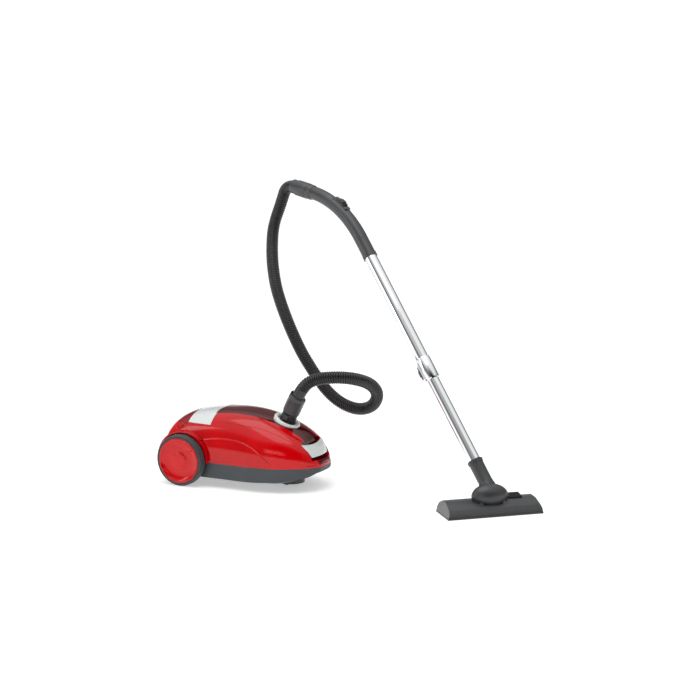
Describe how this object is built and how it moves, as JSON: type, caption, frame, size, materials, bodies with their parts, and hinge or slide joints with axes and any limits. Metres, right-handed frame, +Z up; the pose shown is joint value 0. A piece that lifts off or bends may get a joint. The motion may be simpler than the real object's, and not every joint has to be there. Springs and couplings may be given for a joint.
{
  "type": "canister vacuum cleaner",
  "caption": "Canister vacuum cleaner with a bagged body on wheels, corrugated hose, curved handle, telescopic chrome tube and floor nozzle.",
  "frame": {"origin": "on the floor, under the middle of the whole machine without its hose", "axes": "+X from the canister's rear wheels to its nose, +Y to the canister's left, +Z up"},
  "size_m": [1.041, 0.4954, 0.794],
  "materials": {
    "red_casing": "gloss",
    "tinted_lid": "gloss",
    "pearl_silver": "gloss",
    "slate_base": "satin",
    "dark_plastic": "satin",
    "black_plastic": "satin",
    "tyre_rubber": "matte",
    "seal_rubber": "matte",
    "hose_plastic": "satin",
    "chrome_tube": "mirror",
    "steel": "satin",
    "grey_inner": "matte",
    "filter_fleece": "matte",
    "bag_paper": "matte",
    "bag_card": "matte",
    "motor_metal": "satin",
    "stator_iron": "satin",
    "bristle": "matte"
  },
  "bodies": {
    "canister": {"base_tray": "slate_base", "upper_shell": "red_casing", "pearl_band": "pearl_silver", "exhaust_cover": "red_casing", "exhaust_filter": "filter_fleece", "bulkhead": "grey_inner", "lid_hinge_pin": "steel", "bag_chamber": "grey_inner", "bag_holder": "bag_card", "dust_bag": "bag_paper", "pre_motor_filter": "filter_fleece", "motor_housing": "motor_metal", "motor_stator": "stator_iron", "motor_mounts": "seal_rubber", "motor_cradle": "grey_inner", "reel_bracket": "grey_inner", "reel_spring_case": "steel", "cord_outlet": "black_plastic", "power_switch": "black_plastic", "wheel_axles": "steel", "hose": "hose_plastic", "hose_swivel_collar": "dark_plastic"},
    "lid": {"lid": "tinted_lid", "inlet_ring": "pearl_silver", "inlet_gasket": "seal_rubber", "latch_pin": "steel"},
    "latch": {"lid_latch": "pearl_silver"},
    "cuff": {"hose_cuff": "dark_plastic", "cuff_clips": "black_plastic"},
    "wheel_right": {"wheel_hub_right": "red_casing", "tyre_right": "tyre_rubber"},
    "wheel_left": {"wheel_hub_left": "red_casing", "tyre_left": "tyre_rubber"},
    "caster": {"caster_fork": "slate_base", "caster_clip": "steel", "caster_axle": "steel"},
    "caster_roller": {"caster_wheel": "tyre_rubber"},
    "power_key": {"power_button": "red_casing"},
    "rewind_key": {"rewind_button": "red_casing"},
    "rotor": {"motor_rotor": "motor_metal"},
    "reel": {"cord_reel": "grey_inner"},
    "handle": {"handle_grip": "dark_plastic", "upper_tube": "chrome_tube", "lock_collar": "chrome_tube"},
    "slider": {"suction_slider": "black_plastic"},
    "tube_lock": {"lock_button": "black_plastic"},
    "lower_wand": {"lower_tube": "chrome_tube", "guide_bush": "dark_plastic", "nozzle_neck": "dark_plastic"},
    "drum": {"pivot_drum": "dark_plastic"},
    "nozzle": {"nozzle_cover": "dark_plastic", "nozzle_sole": "black_plastic", "nozzle_screws": "steel", "roller_axles": "steel", "pedal_pin": "steel"},
    "roller_left": {"nozzle_roller_left": "tyre_rubber"},
    "roller_right": {"nozzle_roller_right": "tyre_rubber"},
    "brush": {"brush_carrier": "dark_plastic", "brush_bristles": "bristle"},
    "pedal": {"brush_pedal": "dark_plastic"}
  },
  "joints": [
    {"name": "lid_hinge", "type": "hinge", "parent": "canister", "child": "lid", "pos_m": [-0.37034, -0.08995, 0.193], "axis": [0, -1, 0], "range_deg": [0, 55], "deforming": ["hose"]},
    {"name": "latch_hinge", "type": "hinge", "parent": "lid", "child": "latch", "pos_m": [-0.14954, -0.08995, 0.128], "axis": [0, -1, 0], "range_deg": [0, 22], "stiffness_Nm_per_rad": 0.2},
    {"name": "cuff_swivel", "type": "hinge", "parent": "lid", "child": "cuff", "pos_m": [-0.19354, -0.08995, 0.172], "axis": [0.4384, 0, 0.8988], "continuous": true},
    {"name": "wheel_right_spin", "type": "hinge", "parent": "canister", "child": "wheel_right", "pos_m": [-0.44354, -0.22295, 0.069], "axis": [0, 1, 0], "continuous": true},
    {"name": "wheel_left_spin", "type": "hinge", "parent": "canister", "child": "wheel_left", "pos_m": [-0.44354, 0.04305, 0.069], "axis": [0, 1, 0], "continuous": true},
    {"name": "caster_swivel", "type": "hinge", "parent": "canister", "child": "caster", "pos_m": [-0.18154, -0.08995, 0.05], "axis": [0, 0, 1], "continuous": true},
    {"name": "caster_spin", "type": "hinge", "parent": "caster", "child": "caster_roller", "pos_m": [-0.19254, -0.08995, 0.017], "axis": [0, 1, 0], "continuous": true},
    {"name": "power_press", "type": "slide", "parent": "canister", "child": "power_key", "axis": [0.3101, 0.6722, -0.6722], "range_m": [0, 0.002], "stiffness_N_per_m": 600},
    {"name": "rewind_press", "type": "slide", "parent": "canister", "child": "rewind_key", "axis": [0.3101, -0.6722, -0.6722], "range_m": [0, 0.002], "stiffness_N_per_m": 600},
    {"name": "motor_spin", "type": "hinge", "parent": "canister", "child": "rotor", "pos_m": [-0.44354, -0.13395, 0.09], "axis": [1, 0, 0], "continuous": true},
    {"name": "reel_spin", "type": "hinge", "parent": "canister", "child": "reel", "pos_m": [-0.43854, -0.03695, 0.095], "axis": [0, 1, 0], "continuous": true},
    {"name": "handle_swivel", "type": "hinge", "parent": "canister", "child": "handle", "pos_m": [-0.28691, 0.1982, 0.7666], "axis": [-0.9023, 0.4017, 0.1564], "continuous": true},
    {"name": "suction_slide", "type": "slide", "parent": "handle", "child": "slider", "axis": [-0.799, 0.3557, 0.4848], "range_m": [0, 0.01]},
    {"name": "lock_slide", "type": "slide", "parent": "handle", "child": "tube_lock", "axis": [-0.5872, 0.2614, 0.766], "range_m": [0, 0.006], "stiffness_N_per_m": 400},
    {"name": "telescope", "type": "slide", "parent": "handle", "child": "lower_wand", "axis": [-0.5872, 0.2614, 0.766], "range_m": [-0.12, 0.2]},
    {"name": "neck_swivel", "type": "hinge", "parent": "lower_wand", "child": "drum", "pos_m": [0.386, -0.10644, 0.05714], "axis": [-0.4731, 0.5255, 0.7071], "range_deg": [-90, 90]},
    {"name": "nozzle_tilt", "type": "hinge", "parent": "drum", "child": "nozzle", "pos_m": [0.39546, -0.11695, 0.043], "axis": [0.7431, 0.6691, 0], "range_deg": [-45, 20]},
    {"name": "roller_left_spin", "type": "hinge", "parent": "nozzle", "child": "roller_left", "pos_m": [0.33519, -0.14566, 0.006], "axis": [0.7431, 0.6691, 0], "continuous": true},
    {"name": "roller_right_spin", "type": "hinge", "parent": "nozzle", "child": "roller_right", "pos_m": [0.43031, -0.06001, 0.006], "axis": [0.7431, 0.6691, 0], "continuous": true},
    {"name": "pedal_rock", "type": "hinge", "parent": "nozzle", "child": "pedal", "pos_m": [0.4393, -0.06402, 0.028], "axis": [-0.7431, -0.6691, 0], "range_deg": [0, 16]},
    {"name": "brush_drop", "type": "slide", "parent": "nozzle", "child": "brush", "axis": [0, 0, -1], "range_m": [0, 0.005]}
  ],
  "couplings": [
    {"joint": "brush_drop", "follows": "pedal_rock", "m_per_rad": 0.017887}
  ]
}
